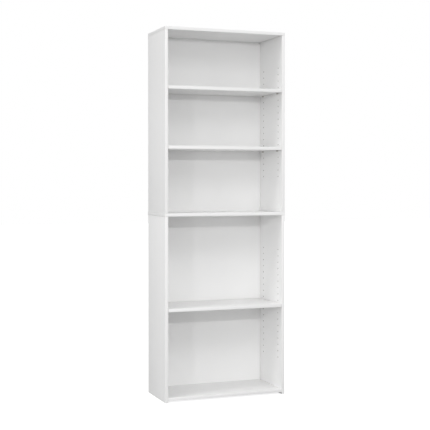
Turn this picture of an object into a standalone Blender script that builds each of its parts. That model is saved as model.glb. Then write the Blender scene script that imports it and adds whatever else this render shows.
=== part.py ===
"""Tall bookcase with adjustable shelves, a flat-pack case in white laminated board.

Metres, +Z up. The origin is on the floor under the middle of the case. +X is to the
right of someone facing the open front, and -Y points out of it towards them.

Two pairs of side panels stand one on the other with the fixed middle shelf between
them. Round cam locks in the boards pull on steel bolts and hold the case together.
Three loose shelves rest on steel pins pushed into rows of holes in the sides.
"""

import math

import bmesh
import bpy
from mathutils import Matrix, Vector

# The case
WIDTH = 0.628            # over the two side panels
HEIGHT = 1.810           # floor to the top of the top panel
DEPTH = 0.282            # front edges to the rear face of the back
BOARD = 0.015            # every laminated board's thickness
LOWER_SIDE = 0.898       # length of a lower side panel
FLOOR_GAP = 0.010        # under the bottom shelf
MIDDLE_OVERHANG = 0.0015  # the middle shelf's ends past the sides

# The back, two sheets nailed to the rear edges
BACK_SHEET = 0.003       # thickness
BACK_MARGIN = 0.0015     # from the case's outline to a sheet's edge
BACK_SEAM = 0.001        # between the two sheets
BACK_OFF_FLOOR = 0.012   # below the lower sheet

# The rows of pin holes in each side panel
HOLE_PITCH = 0.032
FIRST_HOLE = 0.179       # above the panel's lower end
HOLE_FREE_END = 0.150    # least length without holes below the panel's upper end
COLUMN_INSET = 0.048     # each column from its edge of the panel
HOLE_DEPTH = 0.010

# The shelf pins
PIN_SHANK = 0.005        # diameter in the hole
PIN_SHANK_LENGTH = 0.008
PIN_HEAD = 0.006         # diameter under the shelf
PIN_HEAD_LENGTH = 0.010

# The loose shelves
SHELF_END_CLEARANCE = 0.001
SHELF_BACK_CLEARANCE = 0.002
SHELF_SETBACK = 0.001    # behind the sides' front edges
SHELVES = {              # side panel, and how far up its rows of holes the shelf sits
    "high": ("upper", 0.75),
    "second": ("upper", 0.25),
    "low": ("lower", 0.48),
}

# The cam locks and their bolts
CAM = 0.015              # diameter
CAM_FLOOR = 0.002        # board left under a cam's bore
CAM_REACH = 0.024        # cam's axis from the end of its board
CAM_WALL = 0.0025        # between the cam's rim and its inner hollow
FASTENER_INSET = 0.040   # cams and bolts from the front and rear edges
BOLT_HEAD = 0.0065       # diameter
BOLT_HEAD_LENGTH = 0.003
BOLT_NECK = 0.0045       # diameter
BOLT_THREAD = 0.006      # diameter
THREAD_FLOOR = 0.003     # board left under a threaded end
BOLT_COLLAR_LENGTH = 0.0015

# Fits
GAP = 0.0003             # between pieces that touch
HEAD_CLEARANCE = 0.0005  # round a bolt's head and neck

PIN_HOLE_SIDES = 12
PIN_SIDES = 12
CAM_SIDES = 16
BOLT_SIDES = 12

# Worked out from the sizes above
CASE_FRONT = -DEPTH / 2
CASE_REAR = DEPTH / 2 - BACK_SHEET - GAP
INNER_FACE = WIDTH / 2 - BOARD
MIDDLE_UNDER = LOWER_SIDE + GAP
UPPER_FOOT = MIDDLE_UNDER + BOARD + GAP
TOP_UNDER = HEIGHT - BOARD
UPPER_SIDE = TOP_UNDER - GAP - UPPER_FOOT
BOTTOM_LINE = FLOOR_GAP + BOARD / 2
CAM_BORE_DEPTH = BOARD - CAM_FLOOR
CAM_HEIGHT = CAM_BORE_DEPTH - 2 * GAP
THREAD_DEPTH = BOARD - THREAD_FLOOR
CAM_HOLLOW = (CAM / 2 - CAM_WALL) * math.cos(math.pi / CAM_SIDES)
HEAD_SEAT = math.sqrt(CAM_HOLLOW**2 - (BOLT_HEAD / 2) ** 2) - HEAD_CLEARANCE
FASTENER_ROWS = {"front": CASE_FRONT + FASTENER_INSET, "rear": CASE_REAR - FASTENER_INSET}
HOLE_COLUMNS = {"front": CASE_FRONT + COLUMN_INSET, "rear": CASE_REAR - COLUMN_INSET}
HANDS = {"left": -1, "right": 1}
SIDES = {"lower": (0.0, LOWER_SIDE), "upper": (UPPER_FOOT, UPPER_SIDE)}

X_AXIS = Vector((1, 0, 0))
Z_AXIS = Vector((0, 0, 1))


def clear_scene():
    for old in list(bpy.data.objects):
        bpy.data.objects.remove(old, do_unlink=True)


def make_material(name, colour, roughness, metallic):
    material = bpy.data.materials.new(name)
    material.use_nodes = True
    principled = material.node_tree.nodes["Principled BSDF"]
    principled.inputs["Base Color"].default_value = (*colour, 1.0)
    principled.inputs["Roughness"].default_value = roughness
    principled.inputs["Metallic"].default_value = metallic
    return material


def make_object(name, mesh, location=(0, 0, 0), turn=None):
    piece = bpy.data.objects.new(name, mesh)
    piece.location = location
    if turn is not None:
        piece.rotation_euler = turn.to_euler()
    bpy.context.collection.objects.link(piece)
    return piece


def finish_mesh(shape, name, material=None, smooth=False):
    mesh = bpy.data.meshes.new(name)
    shape.to_mesh(mesh)
    shape.free()
    if material is not None:
        mesh.materials.append(material)
    if smooth:
        mesh.shade_smooth()
        mesh.set_sharp_from_angle(angle=math.radians(40))
    return mesh


def add_box(shape, size, centre=(0, 0, 0)):
    place = Matrix.Translation(centre) @ Matrix.Diagonal((*size, 1))
    bmesh.ops.create_cube(shape, size=1.0, matrix=place)


def add_cylinder(shape, start, end, diameter, sides):
    """A closed round bar from start to end."""
    start = Vector(start)
    run = Vector(end) - start
    place = Matrix.Translation(start + run / 2) @ run.to_track_quat("Z", "Y").to_matrix().to_4x4()
    bmesh.ops.create_cone(
        shape,
        cap_ends=True,
        segments=sides,
        radius1=diameter / 2,
        radius2=diameter / 2,
        depth=run.length,
        matrix=place,
    )


def turned_bar(profile, sides, name, material):
    """A bar along X, turned from (x, radius) points that start and end on the axis."""
    shape = bmesh.new()
    outline = [shape.verts.new((x, 0, radius)) for x, radius in profile]
    lines = [shape.edges.new(pair) for pair in zip(outline, outline[1:])]
    bmesh.ops.spin(
        shape,
        geom=outline + lines,
        axis=X_AXIS,
        cent=(0, 0, 0),
        steps=sides,
        angle=2 * math.pi,
        use_merge=True,
    )
    bmesh.ops.remove_doubles(shape, verts=shape.verts, dist=1e-6)
    bmesh.ops.recalc_face_normals(shape, faces=shape.faces)
    return finish_mesh(shape, name, material, smooth=True)


def board(name, low, high, material):
    """A plain board between two corners, with its origin at its middle."""
    low = Vector(low)
    high = Vector(high)
    shape = bmesh.new()
    add_box(shape, high - low)
    return make_object(name, finish_mesh(shape, name, material), (low + high) / 2)


def cut(piece, name, bars):
    """Cut round bars, each (start, end, diameter, sides) and clear of the rest, from a piece."""
    shape = bmesh.new()
    for bar in bars:
        add_cylinder(shape, *bar)
    cutter = make_object(f"{piece.name}_{name}_cutter", finish_mesh(shape, name))
    cutter.hide_render = True
    cutter.display_type = "WIRE"
    difference = piece.modifiers.new(name, "BOOLEAN")
    difference.operation = "DIFFERENCE"
    difference.solver = "EXACT"
    difference.object = cutter


def row_heights(level):
    """Heights of the pin holes in the lower or upper side panels."""
    foot, length = SIDES[level]
    count = int((length - FIRST_HOLE - HOLE_FREE_END) / HOLE_PITCH) + 1
    return [foot + FIRST_HOLE + row * HOLE_PITCH for row in range(count)]


def shelf_row(shelf):
    """Height of the pin holes that carry a loose shelf."""
    level, share = SHELVES[shelf]
    rows = row_heights(level)
    return rows[round(share * (len(rows) - 1))]


def cam_places():
    """Each cam: its face's centre, the way its face looks, and the way to its bolt."""
    cam_line = INNER_FACE - GAP - CAM_REACH
    places = {}
    for hand, sign in HANDS.items():
        inwards = Vector((-sign, 0, 0))
        for row, y in FASTENER_ROWS.items():
            face = sign * INNER_FACE
            lower_end = Vector((face, y, LOWER_SIDE - CAM_REACH))
            upper_foot = Vector((face, y, UPPER_FOOT + CAM_REACH))
            upper_end = Vector((face, y, UPPER_FOOT + UPPER_SIDE - CAM_REACH))
            under_bottom = Vector((sign * cam_line, y, FLOOR_GAP))
            places[f"cam_below_middle_{hand}_{row}"] = (lower_end, inwards, Z_AXIS)
            places[f"cam_above_middle_{hand}_{row}"] = (upper_foot, inwards, -Z_AXIS)
            places[f"cam_top_{hand}_{row}"] = (upper_end, inwards, Z_AXIS)
            places[f"cam_bottom_{hand}_{row}"] = (under_bottom, -Z_AXIS, sign * X_AXIS)
    return places


def cam_bore(place):
    centre, outwards, _ = place
    return (centre + outwards * BOARD, centre - outwards * CAM_BORE_DEPTH, CAM + 2 * GAP, CAM_SIDES)


def bolt_bore(place):
    """The bore from a board's end into its cam, wide enough for the bolt's head."""
    centre, outwards, to_bolt = place
    line = centre - outwards * BOARD / 2
    end = line + to_bolt * (CAM_REACH + BOARD / 2)
    return (line, end, BOLT_HEAD + 2 * HEAD_CLEARANCE, BOLT_SIDES)


def thread_hole(mouth, into):
    """A blind hole for a bolt's thread, from a board's face at mouth."""
    return (mouth - into * BOARD, mouth + into * THREAD_DEPTH, BOLT_THREAD + 2 * GAP, BOLT_SIDES)


def make_sides(laminate, cams):
    """Four side panels: pin holes, cam bores at their ends, threads for the bottom shelf."""
    for level, (foot, length) in SIDES.items():
        for hand, sign in HANDS.items():
            inner = sign * INNER_FACE
            outer = sign * WIDTH / 2
            low = (min(inner, outer), CASE_FRONT, foot)
            high = (max(inner, outer), CASE_REAR, foot + length)
            panel = board(f"{hand}_side_{level}", low, high, laminate)
            hole = PIN_SHANK + 2 * GAP
            holes = [
                ((inner - sign * BOARD, y, z), (inner + sign * HOLE_DEPTH, y, z), hole, PIN_HOLE_SIDES)
                for y in HOLE_COLUMNS.values()
                for z in row_heights(level)
            ]
            own_cams = [
                place
                for name, place in cams.items()
                if f"_{hand}_" in name and foot < place[0].z < foot + length and "bottom" not in name
            ]
            if level == "lower":
                outwards = sign * X_AXIS
                holes += [
                    thread_hole(Vector((inner, y, BOTTOM_LINE)), outwards)
                    for y in FASTENER_ROWS.values()
                ]
            cut(panel, "holes", holes + [cam_bore(place) for place in own_cams])
            cut(panel, "end_bores", [bolt_bore(place) for place in own_cams])


def make_fixed_boards(laminate, cams):
    """The top panel, the middle shelf and the bottom shelf."""
    half = WIDTH / 2
    top = board("top_panel", (-half, CASE_FRONT, TOP_UNDER), (half, CASE_REAR, HEIGHT), laminate)
    reach = half + MIDDLE_OVERHANG
    middle = board(
        "middle_shelf",
        (-reach, CASE_FRONT, MIDDLE_UNDER),
        (reach, CASE_REAR, MIDDLE_UNDER + BOARD),
        laminate,
    )
    end = INNER_FACE - GAP
    bottom = board(
        "bottom_shelf",
        (-end, CASE_FRONT, FLOOR_GAP),
        (end, CASE_REAR, FLOOR_GAP + BOARD),
        laminate,
    )
    side_middle = half - BOARD / 2
    spots = [(sign * side_middle, y) for sign in HANDS.values() for y in FASTENER_ROWS.values()]
    cut(top, "threads", [thread_hole(Vector((x, y, TOP_UNDER)), Z_AXIS) for x, y in spots])
    through = BOLT_THREAD + 2 * GAP
    low = MIDDLE_UNDER - BOARD
    high = MIDDLE_UNDER + 2 * BOARD
    cut(middle, "bolt_holes", [((x, y, low), (x, y, high), through, BOLT_SIDES) for x, y in spots])
    own_cams = [place for name, place in cams.items() if "bottom" in name]
    cut(bottom, "cam_bores", [cam_bore(place) for place in own_cams])
    cut(bottom, "end_bores", [bolt_bore(place) for place in own_cams])


def make_loose_shelves(laminate):
    """Three shelves that rest on pins and slide out forwards."""
    end = INNER_FACE - SHELF_END_CLEARANCE
    front = CASE_FRONT + SHELF_SETBACK
    rear = CASE_REAR - SHELF_BACK_CLEARANCE
    for shelf in SHELVES:
        under = shelf_row(shelf) + PIN_HEAD / 2 + GAP
        board(f"adjustable_shelf_{shelf}", (-end, front, under), (end, rear, under + BOARD), laminate)


def make_back(sheet):
    """Two thin sheets behind the case that meet on the middle shelf's rear edge."""
    reach = WIDTH / 2 - BACK_MARGIN
    front = CASE_REAR + GAP
    rear = DEPTH / 2
    seam = MIDDLE_UNDER + BOARD / 2
    low = (-reach, front, BACK_OFF_FLOOR)
    board("back_lower", low, (reach, rear, seam - BACK_SEAM / 2), sheet)
    low = (-reach, front, seam + BACK_SEAM / 2)
    board("back_upper", low, (reach, rear, HEIGHT - BACK_MARGIN), sheet)


def make_pins(steel):
    """Four pins under each loose shelf, shanks in the sides and heads inside the case."""
    profile = [
        (-PIN_HEAD_LENGTH, 0),
        (-PIN_HEAD_LENGTH, PIN_HEAD / 2),
        (-GAP, PIN_HEAD / 2),
        (-GAP, PIN_SHANK / 2),
        (PIN_SHANK_LENGTH, PIN_SHANK / 2),
        (PIN_SHANK_LENGTH, 0),
    ]
    mesh = turned_bar(profile, PIN_SIDES, "shelf_pin", steel)
    for shelf in SHELVES:
        z = shelf_row(shelf)
        for hand, sign in HANDS.items():
            turn = Matrix.Rotation(0 if sign > 0 else math.pi, 3, "Z")
            for row, y in HOLE_COLUMNS.items():
                make_object(f"pin_{shelf}_{hand}_{row}", mesh, (sign * INNER_FACE, y, z), turn)


def make_cams(zinc, cams):
    """Cams lie flush in their bores: local Z out of the board, local X to the bolt."""
    middle = GAP - BOARD / 2
    hollow = BOLT_HEAD + 2 * HEAD_CLEARANCE
    neck = BOLT_NECK + 2 * HEAD_CLEARANCE
    shape = bmesh.new()
    add_cylinder(shape, (0, 0, -CAM_HEIGHT), (0, 0, 0), CAM, CAM_SIDES)
    blank = make_object("cam_blank", finish_mesh(shape, "cam_blank", zinc, smooth=True))
    cut(
        blank,
        "hollow",
        [((0, 0, middle - hollow / 2), (0, 0, middle + hollow / 2), CAM - 2 * CAM_WALL, CAM_SIDES)],
    )
    for name, size, centre in (
        ("neck_slot", (CAM, neck, neck), (CAM / 2, 0, middle)),
        ("head_mouth", (hollow, CAM, hollow), (0, CAM / 2, middle)),
    ):
        shape = bmesh.new()
        add_box(shape, size, centre)
        slot = make_object(f"cam_{name}_cutter", finish_mesh(shape, name))
        slot.hide_render = True
        slot.display_type = "WIRE"
        difference = blank.modifiers.new(name, "BOOLEAN")
        difference.object = slot
        difference.solver = "EXACT"
    bpy.context.view_layer.update()
    evaluated = blank.evaluated_get(bpy.context.evaluated_depsgraph_get())
    mesh = bpy.data.meshes.new_from_object(evaluated)
    mesh.name = "cam"
    helpers = [blank, *[m.object for m in blank.modifiers]]
    for helper in helpers:
        bpy.data.objects.remove(helper, do_unlink=True)
    for name, (centre, outwards, to_bolt) in cams.items():
        turn = Matrix((to_bolt, outwards.cross(to_bolt), outwards)).transposed()
        make_object(name, mesh, centre - outwards * GAP, turn)


def make_bolts(steel):
    """Threaded bolts at the top and bottom, double-headed bolts through the middle shelf."""
    head = BOLT_HEAD / 2
    neck = BOLT_NECK / 2
    thread = BOLT_THREAD / 2
    head_end = CAM_REACH - HEAD_SEAT + BOLT_HEAD_LENGTH
    thread_end = THREAD_DEPTH - GAP
    head_of_bolt = [
        (GAP + BOLT_COLLAR_LENGTH, head),
        (GAP + BOLT_COLLAR_LENGTH, neck),
        (GAP + head_end - BOLT_HEAD_LENGTH, neck),
        (GAP + head_end - BOLT_HEAD_LENGTH, head),
        (GAP + head_end, head),
        (GAP + head_end, 0),
    ]
    single = [(-thread_end, 0), (-thread_end, thread), (GAP, thread), (GAP, head), *head_of_bolt]
    half = BOARD / 2
    half_double = [(half + x, radius) for x, radius in [(GAP, thread), (GAP, head), *head_of_bolt]]
    double = [(-x, radius) for x, radius in reversed(half_double)] + half_double
    single_mesh = turned_bar(single, BOLT_SIDES, "cam_bolt", steel)
    double_mesh = turned_bar(double, BOLT_SIDES, "double_bolt", steel)
    side_middle = WIDTH / 2 - half
    upright = Matrix.Rotation(math.pi / 2, 3, "Y")
    for hand, sign in HANDS.items():
        inwards = Matrix.Rotation(math.pi if sign > 0 else 0, 3, "Z")
        for row, y in FASTENER_ROWS.items():
            x = sign * side_middle
            make_object(f"bolt_top_{hand}_{row}", single_mesh, (x, y, TOP_UNDER), upright)
            make_object(f"bolt_middle_{hand}_{row}", double_mesh, (x, y, MIDDLE_UNDER + half), upright)
            mouth = (sign * INNER_FACE, y, BOTTOM_LINE)
            make_object(f"bolt_bottom_{hand}_{row}", single_mesh, mouth, inwards)


clear_scene()
white_laminate = make_material("white_laminate", (0.84, 0.84, 0.84), 0.42, 0.0)
white_back = make_material("white_back", (0.80, 0.80, 0.80), 0.5, 0.0)
pin_steel = make_material("pin_steel", (0.42, 0.42, 0.43), 0.32, 1.0)
cam_zinc = make_material("cam_zinc", (0.55, 0.55, 0.56), 0.45, 1.0)
bolt_steel = make_material("bolt_steel", (0.60, 0.59, 0.57), 0.35, 1.0)

cam_layout = cam_places()
make_sides(white_laminate, cam_layout)
make_fixed_boards(white_laminate, cam_layout)
make_loose_shelves(white_laminate)
make_back(white_back)
make_pins(pin_steel)
make_cams(cam_zinc, cam_layout)
make_bolts(bolt_steel)
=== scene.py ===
import math

import bpy
from mathutils import Matrix, Vector


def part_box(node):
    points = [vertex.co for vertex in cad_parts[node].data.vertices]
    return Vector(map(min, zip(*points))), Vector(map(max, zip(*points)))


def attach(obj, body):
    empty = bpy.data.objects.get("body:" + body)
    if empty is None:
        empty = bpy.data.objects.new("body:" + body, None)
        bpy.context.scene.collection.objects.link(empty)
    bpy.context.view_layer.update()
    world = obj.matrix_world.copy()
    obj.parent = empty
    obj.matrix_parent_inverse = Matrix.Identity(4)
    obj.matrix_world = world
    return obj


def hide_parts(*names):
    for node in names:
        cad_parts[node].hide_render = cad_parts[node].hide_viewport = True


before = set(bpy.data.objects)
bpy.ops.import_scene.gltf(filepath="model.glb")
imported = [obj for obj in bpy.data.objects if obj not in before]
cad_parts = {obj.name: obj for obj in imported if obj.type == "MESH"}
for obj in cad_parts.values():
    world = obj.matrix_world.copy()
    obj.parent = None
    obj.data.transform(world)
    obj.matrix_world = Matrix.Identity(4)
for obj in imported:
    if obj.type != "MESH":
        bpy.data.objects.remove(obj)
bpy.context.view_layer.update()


# ---------------------------------------------------------------------------------
# Side panels
# Four uprights of 15 mm particleboard under white melamine foil, an upper pair over a
# lower pair. A white strip is glued on each front edge and the other edges are bare
# sawn board. Rows of pin holes and the bores for the fittings are drilled in them.
# ---------------------------------------------------------------------------------

CASE = "case"
HANDS = {"left": -1, "right": 1}
ROWS = ("front", "rear")
X_AXIS = Vector((1, 0, 0))
Y_AXIS = Vector((0, 1, 0))
Z_AXIS = Vector((0, 0, 1))

EASED = 0.0005           # round on a board's edges
STRIP_THICKNESS = 0.0008
SMOOTH_UNDER = math.radians(28)

HOLE_PITCH = 0.032
FIRST_HOLE = 0.179       # above a side panel's lower end
FREE_END = 0.150         # length without holes below its upper end
PIN_HOLE = (0.0053, 0.010)     # diameter and depth of each drilling
CAM_BORE = (0.0156, 0.013)
BOLT_BORE = 0.0075
THREAD_HOLE = (0.0066, 0.012)
SMALL_FACETS = 16
CAM_FACETS = 32

LEVELS = {"lower": ("below_middle",), "upper": ("above_middle", "top")}   # with their cam locks
FLAT_ON = 0.5            # least share of a normal that counts as looking along an axis


class Wire:
    """A socket in a material's nodes. Arithmetic on it adds Math nodes."""

    def __init__(self, tree, socket=None):
        self.tree = tree
        self.socket = socket

    def node(self, kind, settings=None, values=None, output=0):
        """A new node. Its settings are set first, then its sockets get values or links."""
        made = self.tree.nodes.new(kind)
        for name, setting in (settings or {}).items():
            if name == "stops":
                ramp = made.color_ramp.elements
                while len(ramp) < len(setting):
                    ramp.new(0.5)
                for element, (position, colour) in zip(ramp, setting):
                    element.position = position
                    element.color = (*colour, 1)
            else:
                setattr(made, name, setting)
        for name, value in (values or {}).items():
            if isinstance(value, Wire):
                self.tree.links.new(value.socket, made.inputs[name])
            else:
                made.inputs[name].default_value = value
        return Wire(self.tree, made.outputs[output])

    def maths(self, operation, first, second):
        return self.node("ShaderNodeMath", {"operation": operation}, {0: first, 1: second})

    def __add__(self, other):
        return self.maths("ADD", self, other)

    def __radd__(self, other):
        return self.maths("ADD", other, self)

    def __mul__(self, other):
        return self.maths("MULTIPLY", self, other)

    def __rmul__(self, other):
        return self.maths("MULTIPLY", other, self)


class Finish:
    """A surface finish being mixed, patterned in a piece's own metres."""

    def __init__(self, name, **constants):
        self.material = bpy.data.materials.new(name)
        self.material.use_nodes = True
        self.tree = self.material.node_tree
        self.shader = self.tree.nodes["Principled BSDF"]
        for socket, value in constants.items():
            self.shader.inputs[socket.replace("_", " ")].default_value = value
        self.place = Wire(self.tree).node("ShaderNodeTexCoord", output="Object")

    def stretched(self, scale):
        return self.place.node("ShaderNodeMapping", None, {"Vector": self.place, "Scale": scale})

    def noise(self, scale, detail=2.0, place=None):
        values = {"Vector": place or self.place, "Scale": scale, "Detail": detail}
        return self.place.node("ShaderNodeTexNoise", None, values)

    def cells(self, scale):
        """A number for each cell of a broken-up pattern."""
        values = {"Vector": self.place, "Scale": scale}
        colour = self.place.node("ShaderNodeTexVoronoi", None, values, "Color")
        return self.place.node("ShaderNodeSeparateColor", None, {"Color": colour})

    def ramp(self, amount, stops):
        return self.place.node("ShaderNodeValToRGB", {"stops": stops}, {"Fac": amount})

    def mix(self, amount, first, second):
        values = {0: amount, 6: (*first, 1), 7: (*second, 1)}
        return self.place.node("ShaderNodeMix", {"data_type": "RGBA"}, values, output=2)

    def feed(self, socket, wire):
        self.tree.links.new(wire.socket, self.shader.inputs[socket])

    def relief(self, height, depth):
        """Bumps as deep as depth in metres."""
        values = {"Height": height, "Distance": depth, "Strength": 1.0}
        self.feed("Normal", self.place.node("ShaderNodeBump", None, values))


def white_skin(name, tone, gloss, pores, pore_depth):
    """White foil: faint clouds in its tone, soft smears in its gloss, fine pressed pores."""
    finish = Finish(name, IOR=1.48)
    clouds = finish.noise(8, detail=4)
    bright = (tone, tone * 0.998, tone * 0.994)
    dull = (tone * 0.978, tone * 0.978, tone * 0.976)
    finish.feed("Base Color", finish.mix(clouds, bright, dull))
    smears = finish.noise(13, detail=3, place=finish.stretched((1, 1, 0.3)))
    finish.feed("Roughness", gloss + 0.12 * smears)
    finish.relief(finish.noise(pores, detail=2) * 0.7 + finish.noise(pores / 9) * 0.3, pore_depth)
    return finish.material


def chip_core(name, dark, mid, light):
    """The particleboard's core where it is cut: pressed brown chips, coarse and matt."""
    finish = Finish(name, IOR=1.4)
    chips = finish.cells(480)
    dust = finish.noise(1100, detail=3)
    stops = [(0.0, dark), (0.55, mid), (1.0, light)]
    finish.feed("Base Color", finish.ramp(chips * 0.75 + dust * 0.25, stops))
    finish.feed("Roughness", 0.78 + 0.2 * dust)
    finish.relief(chips * 0.6 + dust * 0.4, 0.0003)
    return finish.material


FOIL = white_skin("white melamine foil", 0.89, 0.36, 1500, 0.00003)
STRIP = white_skin("white edge strip", 0.85, 0.27, 2600, 0.00001)
SAWN_BROWNS = ((0.30, 0.20, 0.11), (0.47, 0.34, 0.20), (0.63, 0.50, 0.33))
CORE = chip_core("sawn particleboard", *SAWN_BROWNS)
# Inside the bores the core is far darker than where it is sawn: painted shade for the holes' insides.
HOLE_SHADE_BROWNS = ((0.05, 0.035, 0.02), (0.09, 0.065, 0.04), (0.16, 0.12, 0.08))
HOLE_SHADE_CORE = chip_core("drilled particleboard, painted shade", *HOLE_SHADE_BROWNS)


def middle(node):
    low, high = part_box(node)
    return (low + high) / 2


def pick(piece):
    """Select one piece and nothing else."""
    bpy.ops.object.select_all(action="DESELECT")
    piece.select_set(True)
    bpy.context.view_layer.objects.active = piece


def name_piece(piece, name):
    piece.name = name
    piece.data.name = name


def add_block(low, high):
    """A block between two corners, with its place in its mesh."""
    bpy.ops.object.select_all(action="DESELECT")
    bpy.ops.mesh.primitive_cube_add(size=1, location=(low + high) / 2)
    block = bpy.context.object
    block.scale = high - low
    bpy.ops.object.transform_apply(location=True, rotation=True, scale=True)
    return block


def take_out(piece, cutter):
    """Cut a cutter's shape out of a piece and throw the cutter away."""
    pick(piece)
    cut = piece.modifiers.new("cut", "BOOLEAN")
    cut.operation = "DIFFERENCE"
    cut.solver = "EXACT"
    cut.object = cutter
    bpy.ops.object.modifier_apply(modifier=cut.name)
    bpy.data.objects.remove(cutter, do_unlink=True)


def drill(piece, mouths, into, diameter, depth, facets=SMALL_FACETS):
    """Round blind holes of one size, each from its mouth on the piece's surface."""
    bpy.ops.object.select_all(action="DESELECT")
    turn = into.to_track_quat("Z", "Y").to_euler()
    proud = diameter
    for count, mouth in enumerate(mouths):
        bpy.ops.mesh.primitive_cylinder_add(
            vertices=facets,
            radius=diameter / 2,
            depth=depth + proud,
            location=mouth + into * (depth - proud) / 2,
            rotation=turn,
        )
        if count == 0:
            cutter = bpy.context.object
            bpy.ops.object.mode_set(mode="EDIT")
    bpy.ops.object.mode_set(mode="OBJECT")
    take_out(piece, cutter)


def saw_board(name, node, strips):
    """A board with eased edges, scored round where the glued strips end."""
    low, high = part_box(node)
    board = add_block(low, high)
    name_piece(board, name)
    bpy.ops.object.mode_set(mode="EDIT")
    bpy.ops.mesh.select_all(action="SELECT")
    bpy.ops.mesh.bevel(offset=EASED, segments=3, affect="EDGES")
    for axis, sign in strips:
        way = (X_AXIS, Y_AXIS, Z_AXIS)[axis] * sign
        edge = high if sign > 0 else low
        bpy.ops.mesh.select_all(action="SELECT")
        bpy.ops.mesh.bisect(plane_co=edge - way * STRIP_THICKNESS, plane_no=way)
    bpy.ops.object.mode_set(mode="OBJECT")
    return board


def dress_board(board, thin, strips):
    """Foil on the two faces across the thin axis, strips where glued, bare core elsewhere; bores get
    painted shade.
    """
    for material in (FOIL, STRIP, CORE, HOLE_SHADE_CORE):
        board.data.materials.append(material)
    corners = [vertex.co for vertex in board.data.vertices]
    low = [min(corner[axis] for corner in corners) for axis in range(3)]
    high = [max(corner[axis] for corner in corners) for axis in range(3)]
    for face in board.data.polygons:
        below = [face.center[axis] - low[axis] for axis in range(3)]
        above = [high[axis] - face.center[axis] for axis in range(3)]
        depth = min(below + above)
        strip_depth = min(above[axis] if sign > 0 else below[axis] for axis, sign in strips)
        skin_depth = min(below[thin], above[thin])
        # Faces below the surface, the bores' walls and bottoms, get the dark core: painted shade.
        if depth > EASED:
            face.material_index = 3
        elif strip_depth < STRIP_THICKNESS:
            face.material_index = 1
        elif skin_depth < EASED / 2 and abs(face.normal[thin]) > FLAT_ON:
            face.material_index = 0
        else:
            face.material_index = 2


def finish_piece(piece, body, slot, *nodes):
    """Smooth its curves, make it move with its body, and let it stand for its CAD nodes."""
    pick(piece)
    bpy.ops.object.shade_smooth_by_angle(angle=SMOOTH_UNDER)
    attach(piece, body)
    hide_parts(*nodes)


def hole_heights(low, high):
    count = int((high.z - low.z - FIRST_HOLE - FREE_END) / HOLE_PITCH) + 1
    return [low.z + FIRST_HOLE + row * HOLE_PITCH for row in range(count)]


def make_side(hand, level):
    node = f"{hand}_side_{level}"
    outwards = X_AXIS * HANDS[hand]
    low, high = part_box(node)
    inner = high.x if hand == "left" else low.x
    strips = [(1, -1)]
    panel = saw_board(f"{level}_{hand}_side_panel", node, strips)

    columns = [middle(f"pin_low_{hand}_{row}").y for row in ROWS]
    holes = [Vector((inner, y, z)) for y in columns for z in hole_heights(low, high)]
    drill(panel, holes, outwards, *PIN_HOLE)

    cams = [middle(f"cam_{place}_{hand}_{row}") for place in LEVELS[level] for row in ROWS]
    drill(panel, [Vector((inner, cam.y, cam.z)) for cam in cams], outwards, *CAM_BORE, CAM_FACETS)
    if level == "lower":
        threads = [middle(f"bolt_bottom_{hand}_{row}") for row in ROWS]
        drill(panel, [Vector((inner, at.y, at.z)) for at in threads], outwards, *THREAD_HOLE)
    half = (low.z + high.z) / 2
    centre = (low.x + high.x) / 2
    for end, way in ((low.z, Z_AXIS), (high.z, -Z_AXIS)):
        near = [cam for cam in cams if (cam.z - half) * way.z < 0]
        if near:
            reach = abs(near[0].z - end)
            drill(panel, [Vector((centre, cam.y, end)) for cam in near], way, BOLT_BORE, reach)

    dress_board(panel, 0, strips)
    finish_piece(panel, CASE, "white_laminate", node)
    return panel


boards = {(level, hand): make_side(hand, level) for level in LEVELS for hand in HANDS}


# ---------------------------------------------------------------------------------
# Fixed boards
# The top panel lies on the uprights, the middle shelf is clamped between the two pairs
# and shows its ends outside, and the bottom shelf hangs between the lower pair. All are
# the same foiled board, with glued strips on every edge that shows.
# ---------------------------------------------------------------------------------

RIGHT_THROUGH = 1.5      # a through hole's depth over the board's thickness


def make_top_panel():
    strips = [(1, -1), (0, -1), (0, 1)]
    panel = saw_board("top_board", "top_panel", strips)
    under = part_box("top_panel")[0].z
    bolts = [middle(f"bolt_top_{hand}_{row}") for hand in HANDS for row in ROWS]
    drill(panel, [Vector((at.x, at.y, under)) for at in bolts], Z_AXIS, *THREAD_HOLE)
    dress_board(panel, 2, strips)
    finish_piece(panel, CASE, "white_laminate", "top_panel")
    return panel


def make_middle_shelf():
    strips = [(1, -1), (0, -1), (0, 1)]
    shelf = saw_board("middle_board", "middle_shelf", strips)
    low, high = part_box("middle_shelf")
    bolts = [middle(f"bolt_middle_{hand}_{row}") for hand in HANDS for row in ROWS]
    through = (high.z - low.z) * RIGHT_THROUGH
    mouths = [Vector((at.x, at.y, low.z)) for at in bolts]
    drill(shelf, mouths, Z_AXIS, THREAD_HOLE[0], through)
    dress_board(shelf, 2, strips)
    finish_piece(shelf, CASE, "white_laminate", "middle_shelf")
    return shelf


def make_bottom_shelf():
    strips = [(1, -1)]
    shelf = saw_board("bottom_board", "bottom_shelf", strips)
    low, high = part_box("bottom_shelf")
    cams = {hand: [middle(f"cam_bottom_{hand}_{row}") for row in ROWS] for hand in HANDS}
    mouths = [Vector((cam.x, cam.y, low.z)) for hand in HANDS for cam in cams[hand]]
    drill(shelf, mouths, Z_AXIS, *CAM_BORE, CAM_FACETS)
    centre = (low.z + high.z) / 2
    for hand, sign in HANDS.items():
        end = low.x if hand == "left" else high.x
        reach = abs(cams[hand][0].x - end)
        ends = [Vector((end, cam.y, centre)) for cam in cams[hand]]
        drill(shelf, ends, X_AXIS * -sign, BOLT_BORE, reach)
    dress_board(shelf, 2, strips)
    finish_piece(shelf, CASE, "white_laminate", "bottom_shelf")
    return shelf


boards["top"] = make_top_panel()
boards["middle"] = make_middle_shelf()
boards["bottom"] = make_bottom_shelf()


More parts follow.
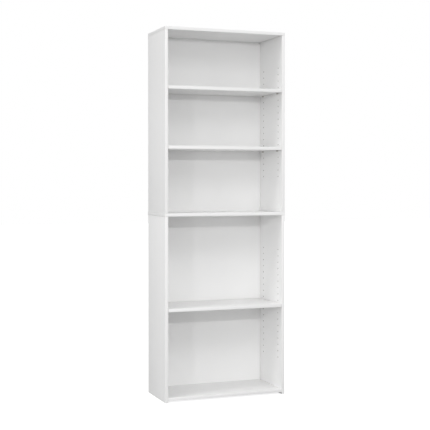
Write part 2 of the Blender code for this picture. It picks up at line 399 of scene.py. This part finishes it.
# ---------------------------------------------------------------------------------
# Cam bolts
# Zinc-plated steel. Eight are screwed into the top panel and the lower uprights, and
# four with a head at both ends pass through the middle shelf.
# ---------------------------------------------------------------------------------

BOLT_FACETS = 24
BOLT_HEAD = 0.00325      # radii
BOLT_NECK = 0.00225
BOLT_CREST = 0.0030
BOLT_ROOT = 0.0024
BOLT_TIP = 0.00192
BOLT_EASE = 0.0003
BOLT_HEAD_LENGTH = 0.003
COLLAR_LENGTH = 0.0015
THREAD_PITCH = 0.00125
THREAD_SHAPE = ((0.15, BOLT_ROOT), (0.50, BOLT_CREST), (0.65, BOLT_CREST))   # share of a pitch, radius
SEAT = 0.0003            # between a collar and the board it sits on


def metal(name, light, dark, gloss):
    """Plated metal: a little cloudy in tone and gloss."""
    finish = Finish(name, Metallic=1.0)
    clouds = finish.noise(240, detail=4)
    finish.feed("Base Color", finish.mix(clouds, light, dark))
    finish.feed("Roughness", gloss + 0.15 * finish.noise(500, detail=3))
    finish.relief(finish.noise(3000), 0.000008)
    return finish.material


ZINC_PLATE = metal("zinc-plated steel", (0.66, 0.65, 0.62), (0.52, 0.51, 0.50), 0.26)


def turn_piece(name, profile, facets, material):
    """A round piece about Z, drawn out ring by ring through (height, radius) steps."""
    (height, radius), *steps = profile
    bpy.ops.object.select_all(action="DESELECT")
    bpy.ops.mesh.primitive_circle_add(
        vertices=facets, radius=radius, fill_type="NGON", location=(0, 0, height)
    )
    piece = bpy.context.object
    name_piece(piece, name)
    bpy.ops.object.transform_apply(location=True, rotation=True, scale=True)
    bpy.ops.object.mode_set(mode="EDIT")
    bpy.ops.mesh.select_all(action="SELECT")
    for next_height, next_radius in steps:
        rise = {"value": (0, 0, next_height - height)}
        bpy.ops.mesh.extrude_region_move(TRANSFORM_OT_translate=rise)
        grow = next_radius / radius
        bpy.ops.transform.resize(value=(grow, grow, 1), center_override=(0, 0, next_height))
        height = next_height
        radius = next_radius
    bpy.ops.mesh.select_all(action="SELECT")
    bpy.ops.mesh.normals_make_consistent(inside=False)
    bpy.ops.object.mode_set(mode="OBJECT")
    piece.data.materials.append(material)
    return piece


def place_copy(piece, name, matrix):
    """A copy with its own mesh, turned and moved to its place."""
    pick(piece)
    bpy.ops.object.duplicate()
    copy = bpy.context.object
    name_piece(copy, name)
    copy.matrix_world = matrix
    bpy.ops.object.transform_apply(location=True, rotation=True, scale=True)
    return copy


def facing(place, outwards, across):
    """The matrix that stands a piece's Z outwards at a place, and its X across."""
    turn = Matrix((across, outwards.cross(across), outwards)).transposed()
    return Matrix.Translation(place) @ turn.to_4x4()


def head_end(reach):
    """A bolt's collar, neck and head, as steps up to its full reach."""
    return [
        (SEAT, BOLT_HEAD - BOLT_EASE),
        (SEAT + BOLT_EASE, BOLT_HEAD),
        (SEAT + COLLAR_LENGTH - BOLT_EASE, BOLT_HEAD),
        (SEAT + COLLAR_LENGTH, BOLT_HEAD - BOLT_EASE),
        (SEAT + COLLAR_LENGTH + BOLT_EASE, BOLT_NECK),
        (reach - BOLT_HEAD_LENGTH - BOLT_EASE, BOLT_NECK),
        (reach - BOLT_HEAD_LENGTH, BOLT_HEAD - BOLT_EASE),
        (reach - BOLT_HEAD_LENGTH + BOLT_EASE, BOLT_HEAD),
        (reach - BOLT_EASE, BOLT_HEAD),
        (reach, BOLT_HEAD - BOLT_EASE),
    ]


def make_bolts():
    low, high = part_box("bolt_top_left_front")
    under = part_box("top_panel")[0].z
    tip = under - high.z
    reach = under - low.z
    thread = [(tip, BOLT_TIP)]
    for turn in range(int(-tip / THREAD_PITCH)):
        thread += [(tip + (turn + share) * THREAD_PITCH, radius) for share, radius in THREAD_SHAPE]
    profile = [*thread, (0, BOLT_ROOT), *head_end(reach)]
    screwed = turn_piece("screwed_bolt", profile, BOLT_FACETS, ZINC_PLATE)

    low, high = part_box("middle_shelf")
    half_board = (high.z - low.z) / 2
    upper_end = [(half_board + height, radius) for height, radius in head_end(reach)]
    lower_end = [(-height, radius) for height, radius in reversed(upper_end)]
    double = turn_piece("double_bolt", lower_end + upper_end, BOLT_FACETS, ZINC_PLATE)

    for hand, sign in HANDS.items():
        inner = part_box(f"{hand}_side_lower")[1 if hand == "left" else 0].x
        for row in ROWS:
            end = f"{hand}_{row}"
            top = middle(f"bolt_top_{end}")
            centre = middle(f"bolt_middle_{end}")
            bottom = middle(f"bolt_bottom_{end}")
            bottom_mouth = Vector((inner, bottom.y, bottom.z))
            seats = {
                "top": (screwed, facing(Vector((top.x, top.y, under)), -Z_AXIS, X_AXIS)),
                "middle": (double, facing(centre, Z_AXIS, X_AXIS)),
                "bottom": (screwed, facing(bottom_mouth, X_AXIS * -sign, Z_AXIS)),
            }
            for place, (bolt, matrix) in seats.items():
                copy = place_copy(bolt, f"cam_bolt_{place}_{end}", matrix)
                finish_piece(copy, CASE, "bolt_steel", f"bolt_{place}_{end}")
    for pattern in (screwed, double):
        bpy.data.objects.remove(pattern, do_unlink=True)


make_bolts()


# ---------------------------------------------------------------------------------
# Cam locks
# Die-cast zinc drums dropped in the bores. A driver in the cross turns each one, and
# its slotted wall pulls the bolt's head and clamps the joint.
# ---------------------------------------------------------------------------------

CAM_RADIUS = 0.0075
CAM_RIM_EASE = 0.0004
CAM_HOLLOW = 0.005       # radius of the hollow for the bolt's head
CAM_HOLLOW_HEIGHT = 0.0075
NECK_SLOT = 0.0055
SLOT_REACH = 0.009       # from the drum's axis, past its wall
CROSS = (0.0075, 0.0013, 0.0024)   # length, width and depth of the driver's cross
ARROW = (0.0012, 0.0004)           # radius and depth of the mark that points to the bolt
ARROW_PLACE = 0.0056

CAST_ZINC = metal("die-cast zinc", (0.60, 0.60, 0.61), (0.42, 0.42, 0.44), 0.38)


def make_cam_pattern():
    low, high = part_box("cam_top_left_front")
    height = high.x - low.x
    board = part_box("left_side_upper")
    line = -(board[1].x - board[0].x) / 2
    profile = [
        (-height, CAM_RADIUS - CAM_RIM_EASE),
        (-height + CAM_RIM_EASE, CAM_RADIUS),
        (-CAM_RIM_EASE, CAM_RADIUS),
        (0, CAM_RADIUS - CAM_RIM_EASE),
    ]
    cam = turn_piece("cam_pattern", profile, CAM_FACETS, CAST_ZINC)
    bpy.ops.object.select_all(action="DESELECT")
    bpy.ops.mesh.primitive_cylinder_add(
        vertices=CAM_FACETS, radius=CAM_HOLLOW, depth=CAM_HOLLOW_HEIGHT, location=(0, 0, line)
    )
    take_out(cam, bpy.context.object)
    half_slot = NECK_SLOT / 2
    half_head = CAM_HOLLOW_HEIGHT / 2
    length, width, depth = CROSS
    cuts = [
        ((0, -half_slot, line - half_slot), (SLOT_REACH, SLOT_REACH, line + half_slot)),
        ((-half_head, 0, line - half_head), (half_head, SLOT_REACH, line + half_head)),
        ((-length / 2, -width / 2, -depth), (length / 2, width / 2, depth)),
        ((-width / 2, -length / 2, -depth), (width / 2, length / 2, depth)),
    ]
    for low, high in cuts:
        take_out(cam, add_block(Vector(low), Vector(high)))
    bpy.ops.object.select_all(action="DESELECT")
    bpy.ops.mesh.primitive_cylinder_add(
        vertices=3,
        radius=ARROW[0],
        depth=2 * ARROW[1],
        location=(ARROW_PLACE, 0, 0),
        rotation=(0, 0, -math.pi / 2),
    )
    take_out(cam, bpy.context.object)
    return cam


def cam_seats():
    """Each cam lock's node, the way its face looks, and the way to its bolt."""
    for hand, sign in HANDS.items():
        for row in ROWS:
            yield f"cam_top_{hand}_{row}", X_AXIS * -sign, Z_AXIS
            yield f"cam_above_middle_{hand}_{row}", X_AXIS * -sign, -Z_AXIS
            yield f"cam_below_middle_{hand}_{row}", X_AXIS * -sign, Z_AXIS
            yield f"cam_bottom_{hand}_{row}", -Z_AXIS, X_AXIS * sign


def face_of(node, outwards):
    """The centre of a node's face that looks outwards."""
    low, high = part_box(node)
    return (low + high) / 2 + outwards * abs((high - low).dot(outwards)) / 2


cam_pattern = make_cam_pattern()
for node, outwards, to_bolt in cam_seats():
    name = node.replace("cam_", "cam_lock_")
    lock = place_copy(cam_pattern, name, facing(face_of(node, outwards), outwards, to_bolt))
    finish_piece(lock, CASE, "cam_zinc", node)
bpy.data.objects.remove(cam_pattern, do_unlink=True)


# ---------------------------------------------------------------------------------
# Cam caps
# Thin white plastic covers, slightly domed, pressed over the twelve cam locks that
# face into the case.
# ---------------------------------------------------------------------------------

CAP_RADIUS = 0.0085
CAP_FACETS = 48
CAP_OFF_PANEL = 0.00003
CAP_PROFILE = [          # height above the panel, radius left off
    (0.0, 0.0),
    (0.00035, 0.0),
    (0.00060, 0.00020),
    (0.00075, 0.00070),
    (0.00082, 0.0025),
    (0.00085, 0.0050),
]


def white_plastic():
    finish = Finish("white cap plastic", IOR=1.49)
    bright = (0.87, 0.87, 0.865)
    dull = (0.84, 0.84, 0.835)
    finish.feed("Base Color", finish.mix(finish.noise(120), bright, dull))
    finish.feed("Roughness", 0.30 + 0.1 * finish.noise(300))
    finish.relief(finish.noise(1800), 0.000012)
    return finish.material


def make_caps():
    profile = [(height, CAP_RADIUS - less) for height, less in CAP_PROFILE]
    pattern = turn_piece("cap_pattern", profile, CAP_FACETS, white_plastic())
    for node, outwards, across in cam_seats():
        if "bottom" in node:
            continue
        hand = "left" if "left" in node else "right"
        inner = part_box(f"{hand}_side_upper")[1 if hand == "left" else 0].x
        centre = middle(node)
        place = Vector((inner, centre.y, centre.z)) + outwards * CAP_OFF_PANEL
        cap = place_copy(pattern, node.replace("cam_", "cap_"), facing(place, outwards, across))
        finish_piece(cap, CASE, "white_laminate")
    bpy.data.objects.remove(pattern, do_unlink=True)


make_caps()


# ---------------------------------------------------------------------------------
# Back sheets
# Two sheets of 3 mm hardboard close the back and meet on the middle shelf's rear edge.
# They are lacquered white inside the case and left brown behind it.
# ---------------------------------------------------------------------------------

SHEET_EASE = 0.0003
FACING_IN = -0.9         # a lacquered face's normal along Y is below this


def brown_hardboard():
    """Pressed wood fibre: brown, finely mottled, with short dark flecks."""
    finish = Finish("brown hardboard", IOR=1.42)
    mottle = finish.noise(45, detail=6)
    fibres = finish.noise(700, detail=3, place=finish.stretched((0.25, 1, 1)))
    stops = [
        (0.30, (0.20, 0.115, 0.055)),
        (0.52, (0.30, 0.185, 0.095)),
        (0.72, (0.38, 0.245, 0.135)),
    ]
    finish.feed("Base Color", finish.ramp(mottle * 0.55 + fibres * 0.45, stops))
    finish.feed("Roughness", 0.52 + 0.25 * fibres)
    finish.relief(fibres * 0.7 + mottle * 0.3, 0.00008)
    return finish.material


LACQUER = white_skin("white back lacquer", 0.90, 0.46, 900, 0.00004)
HARDBOARD = brown_hardboard()


def make_sheet(level):
    node = f"back_{level}"
    sheet = add_block(*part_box(node))
    name_piece(sheet, f"{level}_back_sheet")
    bpy.ops.object.mode_set(mode="EDIT")
    bpy.ops.mesh.select_all(action="SELECT")
    bpy.ops.mesh.bevel(offset=SHEET_EASE, segments=2, affect="EDGES")
    bpy.ops.object.mode_set(mode="OBJECT")
    sheet.data.materials.append(LACQUER)
    sheet.data.materials.append(HARDBOARD)
    for face in sheet.data.polygons:
        face.material_index = 0 if face.normal.y < FACING_IN else 1
    finish_piece(sheet, CASE, "white_back", node)
    return sheet


sheets = {level: make_sheet(level) for level in LEVELS}


# ---------------------------------------------------------------------------------
# Back nails
# Small steel nails with domed heads, driven through the sheets into the rear edges of
# the uprights, the top panel, the middle shelf and the bottom shelf.
# ---------------------------------------------------------------------------------

NAIL_SPACING = 0.105
NAIL_CORNER = 0.040      # first nail from the sheet's edge or the upright's inner face
NAIL_OFF_SEAM = 0.00368  # from the middle of the shelf's edge behind each sheet
NAIL_STAGGER = 0.0115    # sideways, so that the two sheets' nails miss each other
NAIL_FACETS = 16
NAIL_HOLE_FACETS = 8
NAIL_HEAD = 0.0023       # radii
NAIL_SHANK = 0.0007
NAIL_LENGTH = 0.017
NAIL_CLEARANCE = 0.00004
NAIL_PROFILE = [         # height above the sheet, radius
    (-NAIL_LENGTH, NAIL_SHANK * 0.15),
    (-NAIL_LENGTH + 0.0015, NAIL_SHANK),
    (0.00003, NAIL_SHANK),
    (0.00003, NAIL_HEAD - 0.0001),
    (0.00025, NAIL_HEAD),
    (0.00050, NAIL_HEAD - 0.0003),
    (0.00065, NAIL_HEAD - 0.0009),
    (0.00070, NAIL_HEAD * 0.3),
]

NAIL_STEEL = metal("bright nail steel", (0.62, 0.62, 0.61), (0.45, 0.45, 0.45), 0.30)


def spread(start, end, spacing):
    """Evenly spaced places from start to end, both included."""
    gaps = max(1, round((end - start) / spacing))
    return [start + (end - start) * step / gaps for step in range(gaps + 1)]


def nail_rows(level):
    """The board that each row of nails holds, with the places (x, z) along it."""
    low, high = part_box(f"back_{level}")
    sheet_heights = spread(low.z + NAIL_CORNER, high.z - NAIL_CORNER, NAIL_SPACING)
    for hand in HANDS:
        x = middle(f"{hand}_side_{level}").x
        yield (level, hand), [(x, z) for z in sheet_heights]
    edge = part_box("left_side_lower")[1].x + NAIL_CORNER
    along = spread(edge, -edge, NAIL_SPACING)
    seam = middle("middle_shelf").z
    if level == "lower":
        near_seam = (seam + high.z) / 2 - NAIL_OFF_SEAM
        yield "middle", [(x + NAIL_STAGGER, near_seam) for x in along]
        yield "bottom", [(x, middle("bottom_shelf").z) for x in along]
    else:
        near_seam = (seam + low.z) / 2 + NAIL_OFF_SEAM
        yield "middle", [(x - NAIL_STAGGER, near_seam) for x in along]
        yield "top", [(x, middle("top_panel").z) for x in along]


def make_nails():
    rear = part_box("back_upper")[1].y
    hole = 2 * (NAIL_SHANK + NAIL_CLEARANCE)
    pattern = turn_piece("nail_pattern", NAIL_PROFILE, NAIL_FACETS, NAIL_STEEL)
    for level in LEVELS:
        nails = []
        for board, places in nail_rows(level):
            mouths = [Vector((x, rear, z)) for x, z in places]
            for mouth in mouths:
                matrix = facing(mouth, Y_AXIS, X_AXIS)
                nails.append(place_copy(pattern, f"nail_{level}_{len(nails)}", matrix))
            drill(boards[board], mouths, -Y_AXIS, hole, NAIL_LENGTH, NAIL_HOLE_FACETS)
            drill(sheets[level], mouths, -Y_AXIS, hole, NAIL_LENGTH, NAIL_HOLE_FACETS)
        pick(nails[0])
        for nail in nails:
            nail.select_set(True)
        bpy.ops.object.join()
        name_piece(nails[0], f"{level}_back_nails")
        finish_piece(nails[0], CASE, "bolt_steel")
    bpy.data.objects.remove(pattern, do_unlink=True)


make_nails()


# ---------------------------------------------------------------------------------
# Shelf pins
# Twelve nickel-plated steel pins pushed into the rows of holes, four under each loose
# shelf. Each one is turned from bar with chamfered ends.
# ---------------------------------------------------------------------------------

PIN_FACETS = 32
PIN_CHAMFER = 0.0005
PIN_TIP = 0.0008
PIN_NECK = 0.0002        # depth of the groove behind the head

NICKEL = metal("nickel-plated steel", (0.60, 0.58, 0.54), (0.48, 0.46, 0.43), 0.20)
SHELVES = ("high", "second", "low")


def make_pins():
    low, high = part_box("pin_high_right_front")
    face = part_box("right_side_upper")[0].x
    head = (high.z - low.z) / 2
    shank = PIN_HOLE[0] / 2 - 0.00015
    head_length = face - low.x
    shank_length = high.x - face
    shoulder = SEAT
    profile = [
        (-shank_length, shank - PIN_TIP / 2),
        (-shank_length + PIN_TIP, shank),
        (shoulder - PIN_NECK, shank),
        (shoulder, shank - PIN_NECK),
        (shoulder, head - PIN_CHAMFER / 2),
        (shoulder + PIN_CHAMFER / 2, head),
        (head_length - PIN_CHAMFER, head),
        (head_length, head - PIN_CHAMFER),
    ]
    pattern = turn_piece("pin_pattern", profile, PIN_FACETS, NICKEL)
    for shelf in SHELVES:
        for hand, sign in HANDS.items():
            for row in ROWS:
                node = f"pin_{shelf}_{hand}_{row}"
                centre = middle(node)
                place = Vector((sign * face, centre.y, centre.z))
                pin = place_copy(pattern, f"shelf_{node}", facing(place, X_AXIS * -sign, Z_AXIS))
                finish_piece(pin, node, "pin_steel", node)
    bpy.data.objects.remove(pattern, do_unlink=True)


make_pins()


# ---------------------------------------------------------------------------------
# Loose shelves
# Three boards that rest on the pins and slide out forwards, foiled on both faces with
# a strip on the front edge.
# ---------------------------------------------------------------------------------

for shelf in SHELVES:
    node = f"adjustable_shelf_{shelf}"
    strips = [(1, -1)]
    board = saw_board(f"loose_shelf_{shelf}", node, strips)
    dress_board(board, 2, strips)
    finish_piece(board, f"{shelf}_shelf", "white_laminate", node)


# ---------------------------------------------------------------------------------
# Floor, light and camera
# A white floor without a horizon. The light is even from all round, with soft suns, a
# small box over the camera, a broad one high in front and a row of spots on the left.
# The camera stands a little above the middle of the case.
# ---------------------------------------------------------------------------------

FLOOR_SIZE = 40
FLOOR_DROP = 0.0005      # below the feet, so that nothing lies in the same plane
FLOOR_GLOW = 0.85        # what makes it plain white to the camera
FLOOR_GREYS = ((0.47, 0.47, 0.47), (0.45, 0.45, 0.45))
AMBIENT = 0.70           # light from all round
SUNS = {                 # degrees left of the front, degrees up, spread, strength
    "low_side": (58, 5, 14, 0.17),
    "side": (70, 22, 30, 0.15),
    "high_left": (75, 45, 15, 0.56),
    "high_front": (4, 48, 30, 0.31),
}
SOFTBOXES = {            # degrees left of the front, distance, height, width, length, watts
    "over_camera": (19.5, 4.98, 2.0, 0.15, 0.15, 37.5),
    "high_front_box": (0, 3.45, 3.3, 0.9, 0.9, 16.0),
}
AIM_HEIGHT = 1.0         # on the case's middle line
STRIP_LEFT = 41.5        # four spots over each other, shut off above STRIP_CUT
STRIP_DISTANCE = 4.5
STRIP_HEIGHTS = (0.3, 0.75, 1.2, 1.65)
STRIP_CUT = 1.515
STRIP_CONE = 60          # degrees
STRIP_BLEND = 0.05
STRIP_RADIUS = 0.12
STRIP_POWER = 12.0
CAMERA_PLACE = (-1.8015, -4.7378, 1.0646)
CAMERA_TURN = 20.758     # degrees to the right of straight back
CAMERA_TILT = -0.902     # degrees up
LENS = 84.428
SENSOR = 36
DROP_SHIFT = -0.04       # the rest of the drop, so that the uprights stay upright


def make_floor():
    bpy.ops.object.select_all(action="DESELECT")
    bpy.ops.mesh.primitive_plane_add(size=FLOOR_SIZE, location=(0, 0, -FLOOR_DROP))
    floor = bpy.context.object
    name_piece(floor, "studio_floor")
    paper = Finish("white studio floor", Roughness=0.95, Emission_Strength=FLOOR_GLOW)
    paper.feed("Base Color", paper.mix(paper.noise(3), *FLOOR_GREYS))
    seen = paper.place.node("ShaderNodeLightPath")
    paper.feed("Emission Color", paper.mix(seen, (0, 0, 0), (1, 1, 1)))
    floor.data.materials.append(paper.material)


def stand(left, distance, height):
    """A place round the case, so many degrees left of the front."""
    turn = math.radians(left)
    return Vector((-distance * math.sin(turn), -distance * math.cos(turn), height))


def hang_lamp(kind, name, power, turn, place=(0, 0, 0)):
    bpy.ops.object.light_add(type=kind, location=place, rotation=turn)
    lamp = bpy.context.object
    lamp.name = name
    lamp.data.energy = power
    return lamp.data


def light_studio():
    world = bpy.data.worlds.new("studio")
    bpy.context.scene.world = world
    world.use_nodes = True
    sky = world.node_tree.nodes["Background"]
    sky.inputs["Color"].default_value = (1, 1, 1, 1)
    seen = Wire(world.node_tree).node("ShaderNodeLightPath")
    strength = AMBIENT + (1 - AMBIENT) * seen
    world.node_tree.links.new(strength.socket, sky.inputs["Strength"])
    for name, (left, up, spread_angle, power) in SUNS.items():
        turn = (math.radians(90 - up), 0, math.radians(-left))
        hang_lamp("SUN", name, power, turn).angle = math.radians(spread_angle)
    for name, (left, distance, height, width, length, power) in SOFTBOXES.items():
        place = stand(left, distance, height)
        aim = Vector((0, 0, AIM_HEIGHT)) - place
        turn = aim.to_track_quat("-Z", "Y").to_euler()
        box = hang_lamp("AREA", name, power, turn, place)
        box.shape = "RECTANGLE"
        box.size = width
        box.size_y = length
    for height in STRIP_HEIGHTS:
        rise = math.atan2(STRIP_CUT - height, STRIP_DISTANCE) - math.radians(STRIP_CONE / 2)
        turn = (math.radians(90) + rise, 0, math.radians(-STRIP_LEFT))
        place = stand(STRIP_LEFT, STRIP_DISTANCE, height)
        spot = hang_lamp("SPOT", "strip", STRIP_POWER, turn, place)
        spot.spot_size = math.radians(STRIP_CONE)
        spot.spot_blend = STRIP_BLEND
        spot.shadow_soft_size = STRIP_RADIUS


def place_camera():
    turn = (math.radians(90 + CAMERA_TILT), 0, math.radians(-CAMERA_TURN))
    bpy.ops.object.camera_add(location=CAMERA_PLACE, rotation=turn)
    camera = bpy.context.object
    camera.data.lens = LENS
    camera.data.sensor_width = SENSOR
    camera.data.shift_y = DROP_SHIFT
    bpy.context.scene.camera = camera
    bpy.context.scene.view_settings.view_transform = "Standard"


make_floor()
light_studio()
place_camera()
